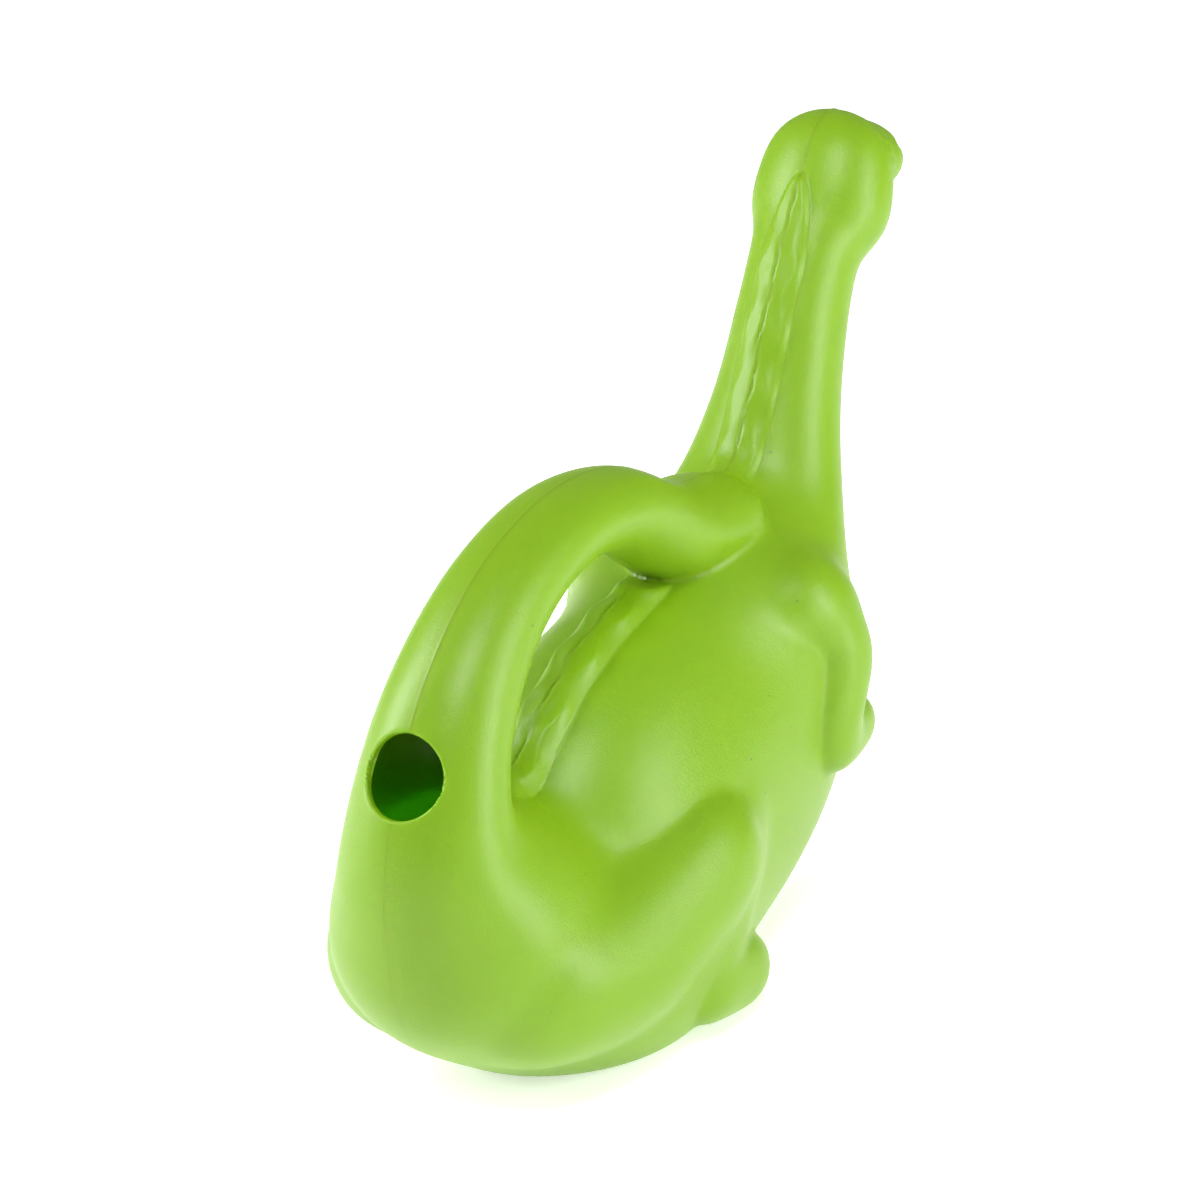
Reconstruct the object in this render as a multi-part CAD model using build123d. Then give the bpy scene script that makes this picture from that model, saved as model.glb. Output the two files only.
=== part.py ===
from build123d import *
import os
from math import cos, radians, sin

# Dinosaur watering can, in millimetres. +X is the way the dinosaur looks, +Y its left, +Z up.
# The can is symmetric about y = 0, which is the parting plane of its mould.
# The origin is on the surface that the can stands on, in the middle of the belly's flat.

# Driving dimensions
WALL = 2.0
FILL_HOLE_DIAMETER = 26.0
FILL_HOLE_CENTRE = (-66.0, 0.0, 118.5)
FILL_HOLE_TILT = 22.0
MOUTH_DIAMETER = 16.0
MOUTH_DROOP = 10.0
SNOUT_CUT = 7.0
ROSE_RIM_DIAMETER = 19.6
ROSE_FACE = 2.0
ROSE_SKIRT_WALL = 1.4
ROSE_DEPTH = 7.0
ROSE_HOLE_DIAMETER = 2.4
ROSE_HOLE_RING = 4.4
ROSE_HOLES_IN_RING = 6

# Each limb is a tube of elliptical sections, and each row of it is one station:
# (x, z, radius seen from the side, distance of its middle from the parting plane, half width).
TORSO = (
    (-22, 46, 46, 0, 45),
    (8, 45, 55, 0, 52),
    (43, 51, 65, 0, 55),
    (82, 61, 67, 0, 52),
    (112, 69, 62, 0, 50),
)
TAIL = (
    (-34, 61, 35, 0, 36),
    (-46, 82, 29, 0, 31),
    (-51, 104, 21, 0, 25),
    (-41, 129, 17, 0, 21),
    (-16, 155, 14, 0, 18),
    (20, 169, 12, 0, 17),
    (57, 166, 13, 0, 18),
    (91, 150, 15, 0, 21),
    (116, 149, 14, 0, 25),
)
NECK = (
    (117, 107, 40, 0, 46),
    (151, 131, 28, 0, 36),
    (171, 168, 21, 0, 24),
    (183, 203, 19, 0, 20),
    (196, 229, 18, 0, 20),
)
HEAD = (
    (204, 236, 22, 0, 26),
    (211, 254, 19, 0, 23),
)
SNOUT = (
    (214, 253, 14, 0, 17),
    (231, 251, 12, 0, 19),
)
THIGH = (
    (-31, 45, 29, 18, 30),
    (3, 44, 29, 28, 29),
    (43, 64, 21, 46, 16),
)
SHIN = (
    (38, 52, 16, 41, 14),
    (36, 29, 14, 42, 13),
)
FOOT = (
    (37, 19, 15, 47, 14),
    (62, 15, 14, 45, 12),
)
ARM = (
    (122, 125, 17, 40, 14),
    (129, 104, 15, 45, 13),
    (124, 78, 12, 46, 11),
)
HAND = (
    (126, 74, 12, 45, 10),
    (147, 72, 11, 43, 10),
)
BACK_RIDGE = (
    (1, 93, 7, 0, 8),
    (20, 109, 7, 0, 8),
    (47, 122, 7, 0, 8),
    (79, 131, 7, 0, 8),
    (98, 137, 7, 0, 8),
)
NECK_RIDGE = (
    (136, 141, 7, 0, 8),
    (151, 163, 7, 0, 8),
    (166, 193, 7, 0, 8),
    (181, 228, 6, 0, 7),
    (191, 246, 4, 0, 4),
)
HOLLOW_LIMBS = (TORSO, TAIL, NECK, HEAD, SNOUT, THIGH, SHIN, FOOT, ARM, HAND)
SOLID_LIMBS = (BACK_RIDGE, NECK_RIDGE)

# A limb's surface passes through sections at its stations and at even steps between them.
STEPS_BETWEEN_STATIONS = 3
# Where the sections of a rounded end lie, in degrees from the limb's last full section.
END_ANGLES = (30, 55, 75, 86)
FAR = 1000.0
FLAT = 0.001


def blend(before, start, end, after, share):
    """One value of a station that lies a share of the way along a smooth run of stations."""
    slope = (end - before) * share
    bend = (2 * before - 5 * start + 4 * end - after) * share**2
    twist = (3 * start - before - 3 * end + after) * share**3
    return start + (slope + bend + twist) / 2


def fill_in(stations):
    """The stations of a limb, with even steps of a smooth run between them."""
    filled = []
    for index in range(len(stations) - 1):
        before = stations[max(index - 1, 0)]
        start = stations[index]
        end = stations[index + 1]
        after = stations[min(index + 2, len(stations) - 1)]
        for step in range(STEPS_BETWEEN_STATIONS):
            share = step / STEPS_BETWEEN_STATIONS
            values = zip(before, start, end, after)
            filled.append(tuple(blend(*value, share) for value in values))
    filled.append(stations[-1])
    return filled


def heading(stations, index):
    """The way a limb runs at one of its stations, seen from the side."""
    before = stations[max(index - 1, 0)]
    after = stations[min(index + 1, len(stations) - 1)]
    return Vector(after[0] - before[0], 0, after[1] - before[1]).normalized()


def section(station, direction, inset, angle=0.0):
    """One ellipse across a limb, or across its rounded end, which closes at 90 degrees."""
    x, z, radius, side, half_width = station
    radius -= inset
    half_width -= inset
    middle = Vector(x, side, z) + direction * (radius * sin(radians(angle)))
    plane = Plane(origin=middle, x_dir=(0, 1, 0), z_dir=direction)
    return plane * Ellipse(half_width * cos(radians(angle)), radius * cos(radians(angle)))


def limb(stations, inset):
    """A closed tube through a limb's stations, its surface moved in by inset."""
    filled = fill_in(stations)
    first = heading(filled, 0)
    last = heading(filled, len(filled) - 1)
    sections = [section(filled[0], first, inset, -angle) for angle in reversed(END_ANGLES)]
    for index, station in enumerate(filled):
        sections.append(section(station, heading(filled, index), inset))
    sections += [section(filled[-1], last, inset, angle) for angle in END_ANGLES]
    return loft(sections)


def left_half(limbs, inset):
    """The left half of the joined limbs, cut flat underneath, with its surface moved in by inset."""
    body = Part() + [limb(stations, inset) for stations in limbs]
    room = Pos(0, 0, inset) * Box(FAR, FAR, FAR, align=(Align.CENTER, Align.MIN, Align.MIN))
    return body & room


def hollow_half():
    """The left half of the body as a wall of even thickness, open on the parting plane.

    The outer and inner skins are joined by the face between them on the parting plane.
    """
    outer = left_half(HOLLOW_LIMBS + SOLID_LIMBS, 0)
    inner = left_half(HOLLOW_LIMBS, WALL)
    skins = []
    parting_faces = []
    for solid in (outer, inner):
        for face in solid.faces():
            if abs(face.bounding_box().max.Y) < FLAT:
                parting_faces.append(face)
            else:
                skins.append(face)
    parting = (Sketch() + parting_faces[0]) - (Sketch() + parting_faces[1])
    return Part() + Solid(Shell(skins + list(parting.faces())))


def mouth_plane():
    """The plane that the snout's open end is trimmed on, facing out of the mouth."""
    tip = SNOUT[-1]
    facing = Vector(cos(radians(MOUTH_DROOP)), 0, -sin(radians(MOUTH_DROOP)))
    middle = Vector(tip[0], 0, tip[1]) + facing * SNOUT_CUT
    return Plane(origin=middle, x_dir=(0, 1, 0), z_dir=facing)


def left_shell():
    """The left half of the hollow body, with its halves of the fill hole and the mouth."""
    shell = hollow_half()
    facing = Vector(-cos(radians(FILL_HOLE_TILT)), 0, sin(radians(FILL_HOLE_TILT)))
    punch = Plane(origin=FILL_HOLE_CENTRE, x_dir=(0, 1, 0), z_dir=facing)
    shell -= punch * Cylinder(FILL_HOLE_DIAMETER / 2, FILL_HOLE_DIAMETER)
    trim = Cylinder(FILL_HOLE_DIAMETER, FILL_HOLE_DIAMETER,
                    align=(Align.CENTER, Align.CENTER, Align.MIN))
    shell -= mouth_plane() * trim
    shell -= mouth_plane() * Cylinder(MOUTH_DIAMETER / 2, 2 * ROSE_DEPTH)
    return shell


def mouth_rose():
    """A plug with a ring of holes: a rimmed face on the lip and a skirt inside the mouth."""
    onto_lip = (Align.CENTER, Align.CENTER, Align.MIN)
    into_mouth = (Align.CENTER, Align.CENTER, Align.MAX)
    face = Cylinder(ROSE_RIM_DIAMETER / 2, ROSE_FACE, align=onto_lip)
    skirt = Cylinder(MOUTH_DIAMETER / 2, ROSE_DEPTH, align=into_mouth)
    hollow = Cylinder(MOUTH_DIAMETER / 2 - ROSE_SKIRT_WALL, ROSE_DEPTH, align=into_mouth)
    rose = face + skirt - hollow
    hole = Cylinder(ROSE_HOLE_DIAMETER / 2, 4 * ROSE_FACE)
    rose -= hole
    rose -= PolarLocations(ROSE_HOLE_RING, ROSE_HOLES_IN_RING) * hole
    return mouth_plane() * rose


def main():
    left = left_shell()
    nodes = {
        "left_shell": left,
        "right_shell": mirror(left, about=Plane.XZ),
        "mouth_rose": mouth_rose(),
    }
    os.makedirs("parts", exist_ok=True)
    for name, solid in nodes.items():
        export_step(solid, f"parts/{name}.step")
        print(name, len(solid.solids()), "solid", round(solid.volume), "mm3")


main()
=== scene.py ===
"""The looks of the dinosaur watering can: its skin, ridges and face, the plastic and the studio.

The skin is a distance field built from the limbs of the dinosaur, which is cut into a fine net and
then into the two halves of the mould. The shape is worked out in millimetres, and the meshes are in
metres. Every limb is given as stations: x, z, radius seen from the side, distance from the parting
plane, half width.
"""

from math import cos, hypot, pi, radians, sin, sqrt

import bmesh
import bpy
import numpy as np
from mathutils import Matrix, Vector


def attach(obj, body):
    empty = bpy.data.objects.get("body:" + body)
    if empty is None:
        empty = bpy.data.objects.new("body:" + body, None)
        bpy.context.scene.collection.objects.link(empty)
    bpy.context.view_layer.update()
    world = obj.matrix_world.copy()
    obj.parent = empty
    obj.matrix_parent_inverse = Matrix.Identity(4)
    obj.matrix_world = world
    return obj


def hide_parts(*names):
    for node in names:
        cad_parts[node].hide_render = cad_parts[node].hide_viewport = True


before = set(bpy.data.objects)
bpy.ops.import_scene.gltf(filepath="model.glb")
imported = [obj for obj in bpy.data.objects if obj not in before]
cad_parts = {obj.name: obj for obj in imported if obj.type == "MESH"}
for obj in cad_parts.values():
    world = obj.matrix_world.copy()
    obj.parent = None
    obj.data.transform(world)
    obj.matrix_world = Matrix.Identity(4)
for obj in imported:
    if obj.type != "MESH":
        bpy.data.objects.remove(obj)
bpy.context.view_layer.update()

MM = 0.001
# Numbers that keep a logarithm, a division or a power in range.
TINY = 1e-300
SMALL = 1e-6
EXPONENTS = (-600, 80)

# ---- The limbs ----
LIMBS = {
    "torso": (
        (-39, 55, 34.5, 0, 40),
        (29, 33, 50.5, 0, 54),
        (53, 55, 69.5, 0, 51.5),
        (116, 71, 67, 0, 47.5),
        (136, 98.5, 39.5, 0, 48),
    ),
    "tail": (
        (-32.5, 67, 34, 0, 35.5),
        (-48, 79.5, 27.5, 0, 29.5),
        (-50.5, 101.5, 20.5, 0, 25),
        (-40.5, 129, 17.5, 0, 21),
        (-15.5, 155, 14.5, 0, 18),
        (20, 169, 12.5, 0, 17.5),
        (57, 166, 13.5, 0, 18.5),
        (91, 149, 15.5, 0, 21),
        (120, 147, 14, 0, 23),
    ),
    "neck": (
        (117.5, 107, 39, 0, 45.5),
        (153, 131.5, 26, 0, 34.5),
        (171, 168.5, 21, 0, 23.5),
        (183.5, 203, 19, 0, 19.5),
        (195.5, 228.5, 17.5, 0, 19.5),
    ),
    "head": (
        (204, 235.5, 22, 0, 26.5),
        (211, 253.5, 19, 0, 23.5),
    ),
    "snout": (
        (213.5, 253, 14, 0, 17.5),
        (231.5, 250.5, 14, 0, 19.5),
    ),
    "jaw": (
        (212, 240, 12, 0, 18),
        (224, 237, 10, 0, 15),
    ),
    "thigh": (
        (-31, 45, 29.5, 18.5, 30),
        (2.5, 44, 29, 28.5, 28.5),
        (43.5, 63, 22, 42, 19.5),
    ),
    "shin": (
        (38, 52.5, 15.5, 40.5, 14),
        (35.5, 29, 14.5, 41, 11.5),
    ),
    "foot": (
        (36, 20, 14.5, 44.5, 11.5),
        (62, 14.5, 14, 44.5, 11.5),
    ),
    "arm": (
        (122, 121.5, 15.5, 38, 12.5),
        (130, 103.5, 14, 45, 12.5),
        (124, 73.5, 12, 45.5, 10),
        (147, 72.5, 11, 43, 10),
    ),
}
# How softly the balls that make up a limb run into each other.
SOFTNESS = {"torso": 4.0, "neck": 3.0, "tail": 2.5, "head": 2.5, "thigh": 2.5}
OTHER_SOFTNESS = 2.0
# The most that two neighbouring balls may be apart, for their softness and size, or differ in size.
BALL_GAP = 1.3
BALL_GROWTH = 6
# The fillets where the limbs grow out of the skin. Some of them widen or narrow along the limb.
NECK_FILLET = 28
HEAD_FILLET = 10
FACE_FILLET = 3
TAIL_ROOT_FILLET = 24
TAIL_TIP_FILLET = 5
SHIN_FILLET = 10
THIGH_FILLET = 4
KNEE_FILLET = 18
FOOT_FILLET = 2.5
SHOULDER_FILLET = 20
HAND_FILLET = 3
BASE_FILLET = 8
# The tail is moulded in softly at its root, up to these x, and on top where its tip meets the neck.
TAIL_ROOT_REACH = (0, 50)
TAIL_TIP_START = (85, 112)
TAIL_TIP_TOP = (146, 158)
# The heights at which an arm's tight fillet widens into the shoulder.
SHOULDER_RISE = (106, 128)
# The place along the knee, measured down its slope, at which a leg's tight fillet widens.
KNEE_HEIGHT = 64
KNEE_SLOPE = 0.5
KNEE_REACH = (44, 66)

# ---- The ridges: lines on the parting plane (x, z) ----
BACK_RIDGE = (
    (-16, 84),
    (-4, 92),
    (5, 101),
    (15, 110),
    (30, 119),
    (47, 126),
    (79, 135),
    (101, 143),
    (120, 150),
)
NECK_RIDGE = ((134, 150), (145, 165), (153, 180), (164, 206), (176.5, 230), (188.5, 252))
RIDGE_HALF_WIDTH = 9.0
RIDGE_TOP_HALF_WIDTH = 5.4
BACK_RIDGE_HEIGHT = 4.0
NECK_RIDGE_HEIGHT = 1.5
RIDGE_REACH = 14.0
SCALLOP_PERIOD = 22.0
SCALLOP_DEPTH = 1.5
BACK_PHASE = 0.6
NECK_PHASE = 2.1
NECK_RIDGE_POINT = 30
# The raised crown of a ridge, the dents beside it and the line pinched into it by the mould.
CROWN_HEIGHT = 0.5
CROWN_WIDTH = 3.2
DENT_DEPTH = 0.25
DENT_PLACE = 4.0
DENT_WIDTH = 2.2
PINCH_DEPTH = 0.3
PINCH_CHANGE = 0.25
PINCH_WIDTH = 0.5
# The back ridge fades where it comes this close to the underside of the tail.
TAIL_GAP = (1, 7)
TAIL_GAP_START = (30, 50)

# The bead that the mould leaves on the parting plane.
SEAM_HEIGHT = 0.17
SEAM_WIDTH = 0.5
TAIL_SEAM_START = (55, 85)
TAIL_SEAM_REACH = (26, 34)
HEAD_SEAM_START = (258, 266)

# The face: places on the side of the head (x, z), and sizes.
EYE = (219.5, 257.5)
EYE_LENGTH = 4.2
EYE_TALL = 5.0
EYE_AXIS = (0.97, -0.22)
EYE_BULGE = 1.5
LID_HEIGHT = 0.8
LID_GROOVE = 0.5
NOSTRIL = (235.0, 256.0)
NOSTRIL_DEPTH = 1.1
NOSTRIL_SIZE = (2.4, 1.6)
CHEEK_START = (6, 10)
LIPS = (216.0, 241.0)
LIP_SLOPE = -0.06
LIP_DEPTH = 0.9
LIP_WIDTH = 0.9
LIP_CORNER = 6

WALL = 2.0
FILL_HOLE_CENTRE = (-66, 0, 118.5)
FILL_HOLE_TILT = 22.0
FILL_HOLE_RADIUS = 12.6
FILL_HOLE_ROUNDING = 1.8
POCKET_DEPTH = 5.0


def rounded_min(a, b, radius):
    """The smaller of two distances, with a fillet of about this radius where they cross."""
    near = np.maximum(radius - np.abs(a - b), 0) / radius
    return np.minimum(a, b) - near**3 * radius / 6


def between(before, start, end, after, share):
    """The station that lies a share of the way along a smooth run of stations."""
    slope = (end - before) * share
    bend = (2 * before - 5 * start + 4 * end - after) * share**2
    twist = (3 * start - before - 3 * end + after) * share**3
    return start + (slope + bend + twist) / 2


def balls_of(stations, softness):
    """Balls along a limb, close enough to merge, each with its share of the limb's length."""
    stations = np.asarray(stations, float)
    last = len(stations) - 1
    balls = []
    for i in range(last):
        before, start = stations[max(i - 1, 0)], stations[i]
        end, after = stations[i + 1], stations[min(i + 2, last)]
        length = hypot(*(end - start)[:2])
        widest_gap = BALL_GAP * sqrt(softness * min(start[2], end[2]))
        growth = abs(end[2] - start[2])
        count = max(int(np.ceil(length / widest_gap)), int(np.ceil(growth / BALL_GROWTH)), 1)
        for share in np.arange(count) / count:
            balls.append(between(before, start, end, after, share))
    balls.append(stations[-1])
    balls = np.array(balls)
    gaps = np.hypot(*np.diff(balls[:, :2], axis=0).T)
    shares = np.zeros(len(balls))
    shares[:-1] += gaps / 2
    shares[1:] += gaps / 2
    shares[0] += gaps[0] / 2
    shares[-1] += gaps[-1] / 2
    return balls, shares


BALLS = {
    name: balls_of(stations, SOFTNESS.get(name, OTHER_SOFTNESS))
    for name, stations in LIMBS.items()
}


def limb_distance(name, x, side, z):
    """Distance outside a limb's surface, negative inside: the soft union of its balls."""
    softness = SOFTNESS.get(name, OTHER_SOFTNESS)
    total = np.full(x.shape, TINY)
    for (ball_x, ball_z, radius, offset, half_width), share in zip(*BALLS[name]):
        in_plane = np.hypot(x - ball_x, z - ball_z) / radius + SMALL
        across = (side - offset) / half_width
        rho = np.hypot(in_plane, across)
        slope = np.hypot(in_plane / radius, across / half_width)
        distance = (rho - 1) * rho / slope
        weight = share / sqrt(2 * pi * softness * radius)
        total += weight * np.exp(np.clip(-distance / softness, *EXPONENTS))
    return -softness * np.log(total)


def ramp(value, low, high):
    """0 below low, 1 above high, smooth between."""
    t = np.clip((value - low) / (high - low), 0, 1)
    return t * t * (3 - 2 * t)


def body_distance(x, y, z):
    """Distance outside the smooth body, without its small details."""
    side = np.abs(y)
    limbs = {name: limb_distance(name, x, side, z) for name in LIMBS}
    tip_top = ramp(x, *TAIL_TIP_START) * ramp(z, *TAIL_TIP_TOP)
    soft_tail = np.maximum(1 - ramp(x, *TAIL_ROOT_REACH), tip_top)
    knee = ramp(x - KNEE_SLOPE * (z - KNEE_HEIGHT), *KNEE_REACH)
    tail_fillet = TAIL_TIP_FILLET + (TAIL_ROOT_FILLET - TAIL_TIP_FILLET) * soft_tail
    arm_fillet = HAND_FILLET + (SHOULDER_FILLET - HAND_FILLET) * ramp(z, *SHOULDER_RISE)
    leg_fillet = THIGH_FILLET + (KNEE_FILLET - THIGH_FILLET) * knee
    leg = rounded_min(limbs["thigh"], limbs["shin"], SHIN_FILLET)
    distance = rounded_min(limbs["torso"], limbs["neck"], NECK_FILLET)
    distance = rounded_min(distance, limbs["head"], HEAD_FILLET)
    face = rounded_min(limbs["snout"], limbs["jaw"], FACE_FILLET)
    distance = rounded_min(distance, face, FACE_FILLET)
    distance = rounded_min(distance, limbs["tail"], tail_fillet)
    distance = rounded_min(distance, leg, leg_fillet)
    distance = rounded_min(distance, limbs["foot"], FOOT_FILLET)
    distance = rounded_min(distance, limbs["arm"], arm_fillet)
    return -rounded_min(-distance, z, BASE_FILLET)


def along(line, x, z):
    """Place along a line on the parting plane, and distance from it, seen from the side."""
    line = np.asarray(line, float)
    best = np.full(x.shape, np.inf)
    place = np.zeros(x.shape)
    passed = 0.0
    for start, end in zip(line[:-1], line[1:]):
        step = end - start
        length = hypot(*step)
        from_x, from_z = x - start[0], z - start[1]
        t = np.clip((from_x * step[0] + from_z * step[1]) / length**2, 0, 1)
        distance = np.hypot(from_x - t * step[0], from_z - t * step[1])
        closer = distance < best
        best = np.where(closer, distance, best)
        place = np.where(closer, passed + t * length, place)
        passed += length
    return place, best, passed


def hump(value, width):
    """A smooth hump, 1 where value is 0."""
    return np.exp(-((value / width) ** 2))


def ridge_height(line, x, y, z, phase, height, pointed):
    """How far a ridge of soft plates stands above the body. A pointed ridge narrows at its end."""
    place, distance, length = along(line, x, z)
    wave = np.cos(2 * pi * place / SCALLOP_PERIOD + phase)
    crest = 0.6 * np.sin(place * 0.21 + phase) + 0.3 * np.sin(place * 0.53 + 2 * phase)
    side = np.abs(y)
    taper = np.sqrt(np.clip((length - place) / pointed, 0, 1)) if pointed else 1.0
    foot = RIDGE_HALF_WIDTH * taper
    top = np.maximum((RIDGE_TOP_HALF_WIDTH + SCALLOP_DEPTH * wave) * taper, 0.2)
    flank = np.clip((foot - side) / np.maximum(foot - top, 0.8), 0, 1)
    flank = flank * (1.6 - 0.6 * flank)
    crown = CROWN_HEIGHT * hump(y - crest, CROWN_WIDTH) * (1 + 0.8 * wave)
    dents = DENT_DEPTH * np.sin(place * 0.37 + 3 * phase) * hump(side - DENT_PLACE, DENT_WIDTH)
    pinch = PINCH_DEPTH + PINCH_CHANGE * np.sin(place * 0.3 + phase)
    relief = (crown + dents) * (0.4 + 0.6 * height / BACK_RIDGE_HEIGHT)
    shape = (height + relief - pinch * hump(y - crest, PINCH_WIDTH)) * flank
    ends = ramp(place, 0, 12) * (1 - ramp(place, length - 4, length))
    return shape * ends * (1 - ramp(distance, RIDGE_REACH - 4, RIDGE_REACH))


def seam_height(x, y, z):
    """The fine bead that the two halves of the mould leave on the tail and the head."""
    place, distance, length = along([(s[0], s[1]) for s in LIMBS["tail"]], x, z)
    on_tail = (1 - ramp(distance, *TAIL_SEAM_REACH)) * ramp(place, *TAIL_SEAM_START)
    on_head = 2 * ramp(z, *HEAD_SEAM_START)
    strength = 0.75 + 0.25 * np.sin(place * 0.23) * np.sin(x * 0.11 + 1)
    return SEAM_HEIGHT * strength * np.maximum(on_tail, on_head) * hump(y, SEAM_WIDTH)


def eye_height(x, y, z):
    """A lidded oval eye on each side of the face, and the nostril in front of it."""
    ahead, above = x - EYE[0], z - EYE[1]
    along_eye = (ahead * EYE_AXIS[0] + above * EYE_AXIS[1]) / EYE_LENGTH
    across_eye = (above * EYE_AXIS[0] - ahead * EYE_AXIS[1]) / EYE_TALL
    around = np.hypot(along_eye, across_eye)
    ball = EYE_BULGE * np.sqrt(np.maximum(1 - around**2, 0))
    lid = LID_HEIGHT * hump(around - 1.25, 0.22) - LID_GROOVE * hump(around - 1, 0.12)
    nostril = hump(x - NOSTRIL[0], NOSTRIL_SIZE[0]) * hump(z - NOSTRIL[1], NOSTRIL_SIZE[1])
    return (ball + lid - NOSTRIL_DEPTH * nostril) * ramp(np.abs(y), *CHEEK_START)


def mouth_depth(x, z):
    """The line between the lips, at the height where the jaw meets the snout."""
    line = LIPS[1] + (x - LIPS[0]) * LIP_SLOPE
    return LIP_DEPTH * hump(z - line, LIP_WIDTH) * ramp(x, LIPS[0], LIPS[0] + LIP_CORNER)


HOLE_AXIS = np.array([-cos(radians(FILL_HOLE_TILT)), 0, sin(radians(FILL_HOLE_TILT))])


def hole_distance(x, y, z):
    """Distance outside the plug that the fill hole cuts away."""
    dx, dy, dz = x - FILL_HOLE_CENTRE[0], y - FILL_HOLE_CENTRE[1], z - FILL_HOLE_CENTRE[2]
    out = dx * HOLE_AXIS[0] + dz * HOLE_AXIS[2]
    away = np.sqrt(np.maximum(dx**2 + dy**2 + dz**2 - out**2, 0))
    return np.maximum(away - FILL_HOLE_RADIUS, -out - POCKET_DEPTH)


def outside_distance(x, y, z):
    """Distance outside the can's outer skin, with its details."""
    tail_gap = limb_distance("tail", x, np.abs(y), z)
    clear_of_tail = np.maximum(1 - ramp(x, *TAIL_GAP_START), ramp(tail_gap, *TAIL_GAP))
    back = ridge_height(BACK_RIDGE, x, y, z, BACK_PHASE, BACK_RIDGE_HEIGHT, 0) * clear_of_tail
    neck = ridge_height(NECK_RIDGE, x, y, z, NECK_PHASE, NECK_RIDGE_HEIGHT, NECK_RIDGE_POINT)
    raised = back + neck + seam_height(x, y, z) + eye_height(x, y, z)
    distance = body_distance(x, y, z) - raised + mouth_depth(x, z)
    return -rounded_min(-distance, hole_distance(x, y, z), FILL_HOLE_ROUNDING)


def inside_distance(x, y, z):
    """Distance outside the can's inner skin."""
    return body_distance(x, y, z) + WALL


# ---- Nets: meshes of a distance field ----
# The box that the net is worked out in, and its stretches of fine planes at the fill hole.
NET_X = (-100, 262)
NET_Y = 82
NET_Z = (-6, 292)
HOLE_X = (-80, -52)
HOLE_Z = (103, 134)
# Every so many planes the distance is sampled roughly, and it is worked out within this reach.
ROUGH_STEP = 4
ROUGH_REACH = 2.2
# How far apart the planes are near the parting plane and elsewhere.
FINE_NET = 0.7
COARSE_NET = 1.35
HOLLOW_NET = 3.0
FINE_BAND = 12
SETTLING_ROUNDS = 2
SETTLING_PROBE = 0.05
SETTLING_SHARE = 0.45


def planes_between(low, high, spacing, fine_low, fine_high, fine_spacing):
    """Grid planes, closer together between fine_low and fine_high."""
    planes = [low]
    while planes[-1] < high:
        fine = fine_low <= planes[-1] <= fine_high
        planes.append(planes[-1] + (fine_spacing if fine else spacing))
    return np.array(planes)


def layers(reach, fine, coarse, fine_reach):
    """Grid planes either side of the parting plane, closer together near it."""
    planes = [fine / 2]
    while planes[-1] < reach:
        planes.append(planes[-1] + (fine if planes[-1] < fine_reach else coarse))
    planes = np.array(planes)
    return np.concatenate([-planes[::-1], planes])


def sampled(distance, xs, ys, zs):
    """The distance on a grid, worked out exactly only near the surface."""
    planes = (xs, ys, zs)
    values = distance(*np.meshgrid(*(p[::ROUGH_STEP] for p in planes), indexing="ij"))
    for axis, n in enumerate(len(p) for p in planes):
        nearest = np.minimum(np.arange(n) // ROUGH_STEP, values.shape[axis] - 1)
        values = np.take(values, nearest, axis=axis)
    reach = ROUGH_REACH * ROUGH_STEP * (xs[1] - xs[0])
    i, j, k = np.nonzero(np.abs(values) < reach)
    values[i, j, k] = distance(xs[i], ys[j], zs[k])
    return values


def net_of(xs, ys, zs, values):
    """A closed net of quads where the values change sign: one point in every cell that it crosses."""
    inside = values < 0
    cells = tuple(n - 1 for n in values.shape)
    corners = [(i, j, k) for i in (0, 1) for j in (0, 1) for k in (0, 1)]
    counts = np.zeros(cells, np.int8)
    for i, j, k in corners:
        counts += inside[i : i + cells[0], j : j + cells[1], k : k + cells[2]]
    crossed = np.argwhere((counts > 0) & (counts < 8))
    number = np.full(cells, -1, np.int64)
    number[tuple(crossed.T)] = np.arange(len(crossed))
    total = np.zeros((len(crossed), 3))
    hits = np.zeros(len(crossed))
    ci, cj, ck = crossed.T
    for a in corners:
        for axis in range(3):
            if a[axis]:
                continue
            b = tuple(v + (n == axis) for n, v in enumerate(a))
            va = values[ci + a[0], cj + a[1], ck + a[2]]
            vb = values[ci + b[0], cj + b[1], ck + b[2]]
            cut = (va < 0) != (vb < 0)
            t = np.where(cut, va / np.where(cut, va - vb, 1), 0)
            pa = np.stack([xs[ci + a[0]], ys[cj + a[1]], zs[ck + a[2]]], 1)
            pb = np.stack([xs[ci + b[0]], ys[cj + b[1]], zs[ck + b[2]]], 1)
            total += np.where(cut[:, None], pa + (pb - pa) * t[:, None], 0)
            hits += cut
    points = total / hits[:, None]
    quads = []
    for axis in range(3):
        others = [n for n in range(3) if n != axis]
        low = [slice(None)] * 3
        high = [slice(None)] * 3
        low[axis], high[axis] = slice(0, -1), slice(1, None)
        starts, ends = inside[tuple(low)], inside[tuple(high)]
        edges = np.argwhere(starts != ends)
        leaving = starts[tuple(edges.T)]
        ring = []
        for d0, d1 in ((-1, -1), (0, -1), (0, 0), (-1, 0)):
            cell = edges.copy()
            cell[:, others[0]] += d0
            cell[:, others[1]] += d1
            ring.append(number[tuple(cell.T)])
        ring = np.stack(ring, 1)
        forward = leaving if axis != 1 else ~leaving
        quads.append(np.where(forward[:, None], ring, ring[:, ::-1]))
    return points, np.concatenate(quads)


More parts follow.
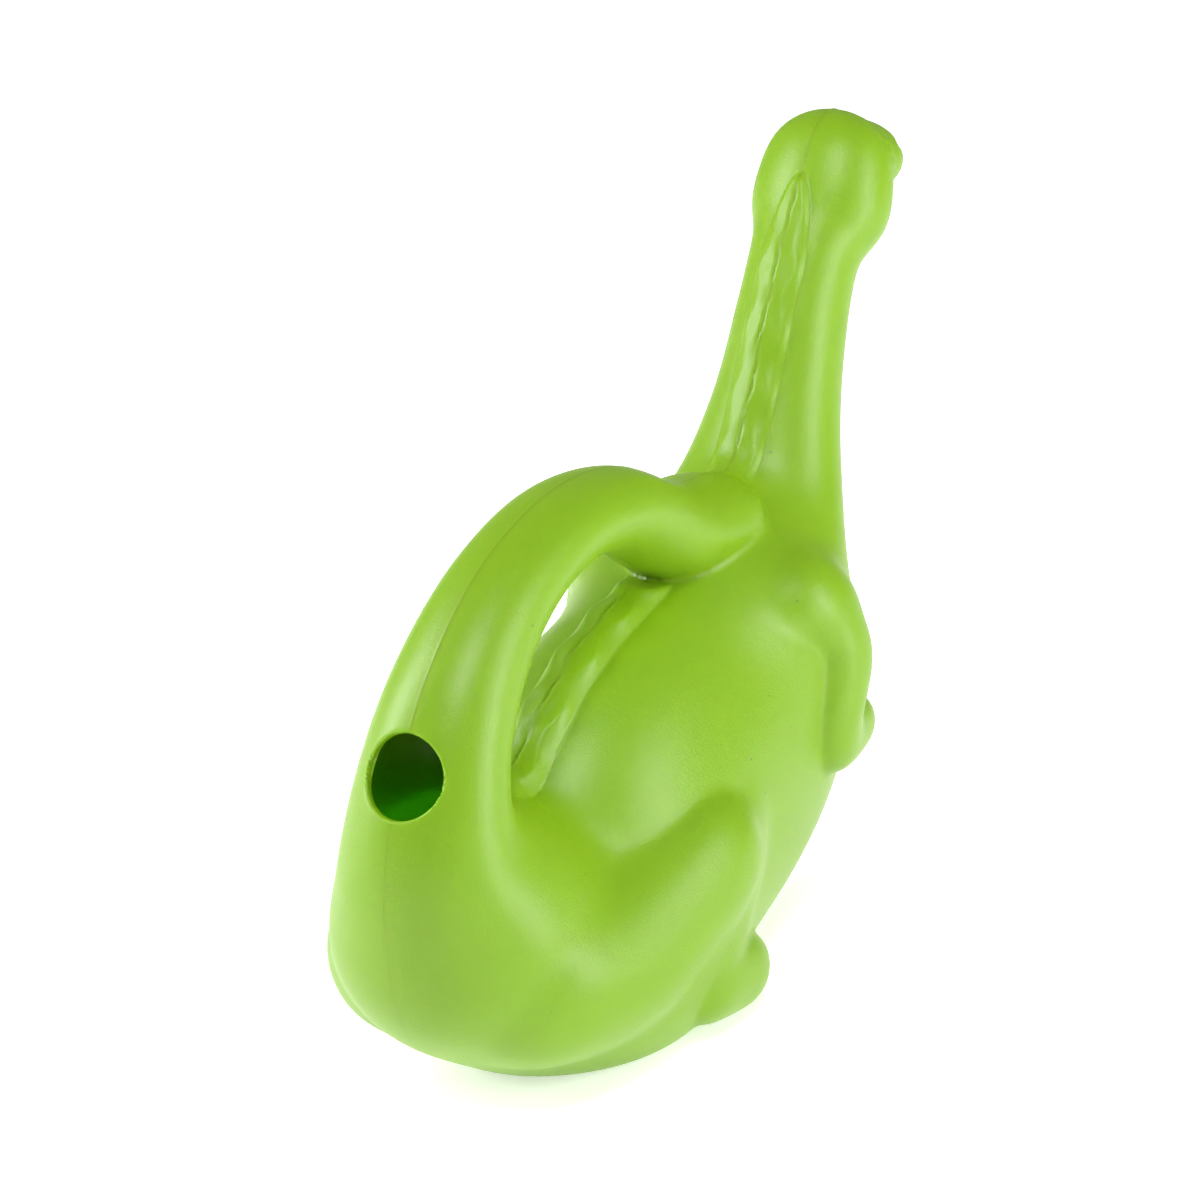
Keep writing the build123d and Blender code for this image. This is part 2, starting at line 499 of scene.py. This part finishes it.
def settled(points, distance, rounds, limit):
    """The points moved straight onto the surface."""
    probes = SETTLING_PROBE * np.eye(3)
    for _ in range(rounds):
        here = distance(*points.T)
        rises = [distance(*(points + p).T) - distance(*(points - p).T) for p in probes]
        slope = np.stack(rises, 1) / (2 * SETTLING_PROBE)
        move = -here[:, None] * slope / np.maximum((slope**2).sum(1), 0.2)[:, None]
        size = np.linalg.norm(move, axis=1, keepdims=True)
        points = points + move * np.minimum(1, limit / np.maximum(size, SMALL))
    return points


def mesh_object(name, points, faces):
    """A mesh object, in metres, from points in millimetres."""
    mesh = bpy.data.meshes.new(name)
    mesh.vertices.add(len(points))
    mesh.vertices.foreach_set("co", (points * MM).astype(np.float32).ravel())
    mesh.loops.add(faces.size)
    mesh.loops.foreach_set("vertex_index", faces.astype(np.int32).ravel())
    mesh.polygons.add(len(faces))
    mesh.polygons.foreach_set("loop_start", np.arange(0, faces.size, faces.shape[1], dtype=np.int32))
    mesh.update(calc_edges=True)
    mesh.validate()
    made = bpy.data.objects.new(name, mesh)
    bpy.context.scene.collection.objects.link(made)
    return made


def skin(name, distance, fine, coarse, fine_reach, settle):
    """The closed skin of a distance field, as a mesh object."""
    xs = planes_between(*NET_X, coarse, *HOLE_X, fine)
    zs = planes_between(*NET_Z, coarse, *HOLE_Z, fine)
    ys = layers(NET_Y, fine, coarse, fine_reach)
    points, quads = net_of(xs, ys, zs, sampled(distance, xs, ys, zs))
    points = settled(points, distance, settle, coarse * SETTLING_SHARE)
    return mesh_object(name, points, quads)


def combined(obj, tool, operation):
    """obj after a boolean with the tool object, which is left as it is."""
    modifier = obj.modifiers.new("cut", "BOOLEAN")
    modifier.operation = operation
    modifier.solver = "MANIFOLD"
    modifier.object = tool
    bpy.context.view_layer.update()
    mesh = bpy.data.meshes.new_from_object(obj.evaluated_get(bpy.context.evaluated_depsgraph_get()))
    obj.modifiers.clear()
    old = obj.data
    obj.data = mesh
    bpy.data.meshes.remove(old)
    return obj


def copy_of(obj, name):
    """A copy of an object and its mesh."""
    made = bpy.data.objects.new(name, obj.data.copy())
    bpy.context.scene.collection.objects.link(made)
    return made


def removed(*objs):
    """Deletes tools that aren't part of the can."""
    for obj in objs:
        bpy.data.objects.remove(obj)


def tool_object(name, made, middle, shape):
    """A cutting tool from a unit bmesh, shaped by a matrix and moved to its middle."""
    bmesh.ops.transform(made, matrix=Matrix.Translation(middle) @ shape, verts=made.verts)
    mesh = bpy.data.meshes.new(name)
    made.to_mesh(mesh)
    made.free()
    obj = bpy.data.objects.new(name, mesh)
    bpy.context.scene.collection.objects.link(obj)
    return obj


def rod(name, radius, start, end):
    """A closed cylinder between two points, in millimetres, as a cutting tool."""
    start, end = Vector(start) * MM, Vector(end) * MM
    made = bmesh.new()
    bmesh.ops.create_cone(
        made,
        cap_ends=True,
        segments=ROD_SIDES,
        radius1=radius * MM,
        radius2=radius * MM,
        depth=(end - start).length,
    )
    turn = (end - start).to_track_quat("Z", "Y").to_matrix().to_4x4()
    return tool_object(name, made, (start + end) / 2, turn)


def slab(name, low, high):
    """A box between two corners, in millimetres, as a cutting tool."""
    low, high = Vector(low) * MM, Vector(high) * MM
    made = bmesh.new()
    bmesh.ops.create_cube(made, size=1)
    return tool_object(name, made, (low + high) / 2, Matrix.Diagonal((*(high - low), 1)))


# ---- The pieces ----
ROD_SIDES = 96
MOUTH_DROOP = 10.0
MOUTH_RADIUS = 8.0
SNOUT_TIP = Vector((231, 0, 251))
SNOUT_CUT = 7
MOUTH_AXIS = Vector((cos(radians(MOUTH_DROOP)), 0, -sin(radians(MOUTH_DROOP))))
MOUTH = SNOUT_TIP + SNOUT_CUT * MOUTH_AXIS
FACE_CUT_RADIUS = 30
AHEAD_OF_MOUTH = MOUTH + 20 * MOUTH_AXIS
BEHIND_MOUTH = MOUTH - 22 * MOUTH_AXIS

shell = skin("shell", outside_distance, FINE_NET, COARSE_NET, FINE_BAND, SETTLING_ROUNDS)
hollow = skin("hollow", inside_distance, HOLLOW_NET, HOLLOW_NET, 0, 1)
mouth_cut = rod("mouth_cut", MOUTH_RADIUS, BEHIND_MOUTH, AHEAD_OF_MOUTH)
face_cut = rod("face_cut", FACE_CUT_RADIUS, MOUTH, AHEAD_OF_MOUTH)
for tool in (face_cut, hollow, mouth_cut):
    shell = combined(shell, tool, "DIFFERENCE")

left_side = slab("left_side", (-150, 0, -50), (300, 120, 350))
right_side = slab("right_side", (-150, -120, -50), (300, 0, 350))
left_skin = combined(copy_of(shell, "left_skin"), left_side, "INTERSECT")
right_skin = combined(copy_of(shell, "right_skin"), right_side, "INTERSECT")
removed(shell, hollow, mouth_cut, face_cut, left_side, right_side)


# ---- The plastic ----
LIME = (0.186, 0.348, 0.004, 1)
LIME_DEEP = (0.176, 0.336, 0.003, 1)
SPECK = (0.10, 0.20, 0.02, 1)
ROUGHNESS = 0.40
SHARP_ANGLE = 40
# Textures repeat this many times in a metre, and bumps stand this many metres high.
MOTTLE_SCALE = 45
SPECK_SCALE = 60
GRAIN_SCALE = 1400
GRAIN_HEIGHT = 0.00022
PEEL_SCALE = 220
PEEL_HEIGHT = 0.0002


def noise(tree, place, scale, detail):
    """A soft noise texture over an object's own coordinates."""
    node = tree.nodes.new("ShaderNodeTexNoise")
    node.inputs["Scale"].default_value = scale
    node.inputs["Detail"].default_value = detail
    tree.links.new(place.outputs["Object"], node.inputs["Vector"])
    return node


def bump(tree, texture, strength, height):
    """A bump from a noise texture."""
    node = tree.nodes.new("ShaderNodeBump")
    node.inputs["Strength"].default_value = strength
    node.inputs["Distance"].default_value = height
    tree.links.new(texture.outputs["Fac"], node.inputs["Height"])
    return node


def mottled(tree, place):
    """The lime green, a little deeper in soft patches."""
    patches = noise(tree, place, MOTTLE_SCALE, 3)
    blend = tree.nodes.new("ShaderNodeMix")
    blend.data_type = "RGBA"
    blend.inputs["A"].default_value = LIME_DEEP
    blend.inputs["B"].default_value = LIME
    tree.links.new(patches.outputs["Fac"], blend.inputs["Factor"])
    return blend


def specked(tree, place, colour):
    """A colour with rare dark specks in it."""
    dots = tree.nodes.new("ShaderNodeTexVoronoi")
    dots.inputs["Scale"].default_value = SPECK_SCALE
    size = tree.nodes.new("ShaderNodeMapRange")
    size.inputs["From Min"].default_value = 0.035
    size.inputs["From Max"].default_value = 0.015
    specks = tree.nodes.new("ShaderNodeMix")
    specks.data_type = "RGBA"
    specks.inputs["B"].default_value = SPECK
    tree.links.new(place.outputs["Object"], dots.inputs["Vector"])
    tree.links.new(dots.outputs["Distance"], size.inputs["Value"])
    tree.links.new(size.outputs["Result"], specks.inputs["Factor"])
    tree.links.new(colour.outputs["Result"], specks.inputs["A"])
    return specks


def plastic(name):
    """Satin moulded polyethylene: faintly mottled, finely grained, a little see-through."""
    material = bpy.data.materials.new(name)
    material.use_nodes = True
    tree = material.node_tree
    shader = tree.nodes["Principled BSDF"]
    shader.inputs["Roughness"].default_value = ROUGHNESS
    shader.inputs["Specular IOR Level"].default_value = 0.4
    shader.inputs["IOR"].default_value = 1.5
    shader.inputs["Subsurface Weight"].default_value = 0.7
    shader.inputs["Subsurface Radius"].default_value = (0.6, 1.0, 0.15)
    shader.inputs["Subsurface Scale"].default_value = 0.003

    place = tree.nodes.new("ShaderNodeTexCoord")
    colour = specked(tree, place, mottled(tree, place))
    tree.links.new(colour.outputs["Result"], shader.inputs["Base Color"])

    grain = bump(tree, noise(tree, place, GRAIN_SCALE, 2), 0.35, GRAIN_HEIGHT)
    peel = bump(tree, noise(tree, place, PEEL_SCALE, 1), 0.25, PEEL_HEIGHT)
    tree.links.new(peel.outputs["Normal"], grain.inputs["Normal"])
    tree.links.new(grain.outputs["Normal"], shader.inputs["Normal"])
    return material


shell_plastic = plastic("shell_plastic")
for piece, node in ((left_skin, "left_shell"), (right_skin, "right_shell")):
    piece.data.shade_smooth()
    piece.data.set_sharp_from_angle(angle=radians(SHARP_ANGLE))
    piece.data.materials.clear()
    piece.data.materials.append(shell_plastic)
    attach(piece, "root")
    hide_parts(node)

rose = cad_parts["mouth_rose"]
rose.data.materials.clear()
rose.data.materials.append(plastic("rose_plastic"))

# ---- The studio ----
LOOK_AT = Vector((0.0494, 0, 0.13755))
CAMERA_DISTANCE = 0.9
CAMERA_TURN = radians(29.88)
CAMERA_HEIGHT = radians(19.0)
SENSOR = 36
FOCAL_SHARE = 2.3658
LOOK = Vector(
    (
        cos(CAMERA_HEIGHT) * cos(CAMERA_TURN),
        cos(CAMERA_HEIGHT) * sin(CAMERA_TURN),
        -sin(CAMERA_HEIGHT),
    )
)
RIGHT = Vector((sin(CAMERA_TURN), -cos(CAMERA_TURN), 0))
UP = RIGHT.cross(LOOK)
WHITE = (1, 1, 1, 1)
# The paper that the can stands on glows a little near it, and more further away.
FLOOR_HALF = 12
PAPER_WHITE = (0.93, 0.93, 0.93, 1)
PAPER_REACH = (0.2, 1.3)
PAPER_GLOW = (0.48, 0.85)
# The room's light is brighter at the height of the can than overhead.
SKY_REACH = (0.0, 0.9)
SKY_LIGHT = (0.22, 0.32)
GLOW_PLACE = (0.04, 0, 0.065)


def shown(name, data):
    """An object in the scene, made from its data."""
    made = bpy.data.objects.new(name, data)
    bpy.context.scene.collection.objects.link(made)
    return made


def graded(tree, reach, values):
    """A range that turns a length into a strength of light."""
    node = tree.nodes.new("ShaderNodeMapRange")
    node.inputs["From Min"].default_value, node.inputs["From Max"].default_value = reach
    node.inputs["To Min"].default_value, node.inputs["To Max"].default_value = values
    return node


def add_camera():
    """The camera, behind the can and to its right."""
    data = bpy.data.cameras.new("camera")
    data.sensor_width = SENSOR
    data.lens = SENSOR * FOCAL_SHARE
    data.clip_end = 100
    camera = shown("camera", data)
    camera.location = LOOK_AT - CAMERA_DISTANCE * LOOK
    camera.rotation_euler = LOOK.to_track_quat("-Z", "Y").to_euler()
    bpy.context.scene.camera = camera


def paper():
    """White backdrop paper, lit from below."""
    material = bpy.data.materials.new("paper")
    material.use_nodes = True
    tree = material.node_tree
    shader = tree.nodes["Principled BSDF"]
    shader.inputs["Base Color"].default_value = PAPER_WHITE
    shader.inputs["Roughness"].default_value = 0.9
    shader.inputs["Emission Color"].default_value = WHITE
    place = tree.nodes.new("ShaderNodeTexCoord")
    away = tree.nodes.new("ShaderNodeVectorMath")
    away.operation = "LENGTH"
    glow = graded(tree, PAPER_REACH, PAPER_GLOW)
    tree.links.new(place.outputs["Object"], away.inputs[0])
    tree.links.new(away.outputs["Value"], glow.inputs["Value"])
    tree.links.new(glow.outputs["Result"], shader.inputs["Emission Strength"])
    return material


def add_floor():
    """A wide sheet of paper."""
    mesh = bpy.data.meshes.new("floor")
    corners = [(x * FLOOR_HALF, y * FLOOR_HALF, 0) for x, y in ((-1, -1), (1, -1), (1, 1), (-1, 1))]
    mesh.from_pydata(corners, [], [(0, 1, 2, 3)])
    mesh.materials.append(paper())
    floor = shown("floor", mesh)


def add_room():
    """The light of the room, which changes with height."""
    world = bpy.data.worlds.new("world")
    world.use_nodes = True
    tree = world.node_tree
    background = tree.nodes["Background"]
    background.inputs["Color"].default_value = WHITE
    place = tree.nodes.new("ShaderNodeTexCoord")
    parts = tree.nodes.new("ShaderNodeSeparateXYZ")
    light = graded(tree, SKY_REACH, SKY_LIGHT)
    tree.links.new(place.outputs["Generated"], parts.inputs["Vector"])
    tree.links.new(parts.outputs["Z"], light.inputs["Value"])
    tree.links.new(light.outputs["Result"], background.inputs["Strength"])
    bpy.context.scene.world = world


def softbox(name, right, up, back, width, tall, watts):
    """A soft area light placed by the camera's own directions, aimed at the can."""
    data = bpy.data.lights.new(name, "AREA")
    data.shape = "RECTANGLE"
    data.size, data.size_y = width, tall
    data.energy = watts
    light = shown(name, data)
    light.location = LOOK_AT + right * RIGHT + up * UP - back * LOOK
    light.rotation_euler = (LOOK_AT - light.location).to_track_quat("-Z", "Y").to_euler()


def add_glow():
    """The light that comes into the hollow through the thin walls."""
    data = bpy.data.lights.new("glow", "POINT")
    data.energy = 0.15
    data.color = (0.2, 1.0, 0.05)
    data.shadow_soft_size = 0.015
    shown("glow", data).location = GLOW_PLACE


add_camera()
add_floor()
add_room()
softbox("left", -1.1, 0.5, 0.1, 0.35, 0.9, 16)
softbox("right", 1.05, 0.05, 0.45, 0.3, 1.2, 14)
softbox("front", 0.05, 0.9, 1.25, 0.4, 0.35, 13)
add_glow()
bpy.context.scene.view_settings.view_transform = "Standard"
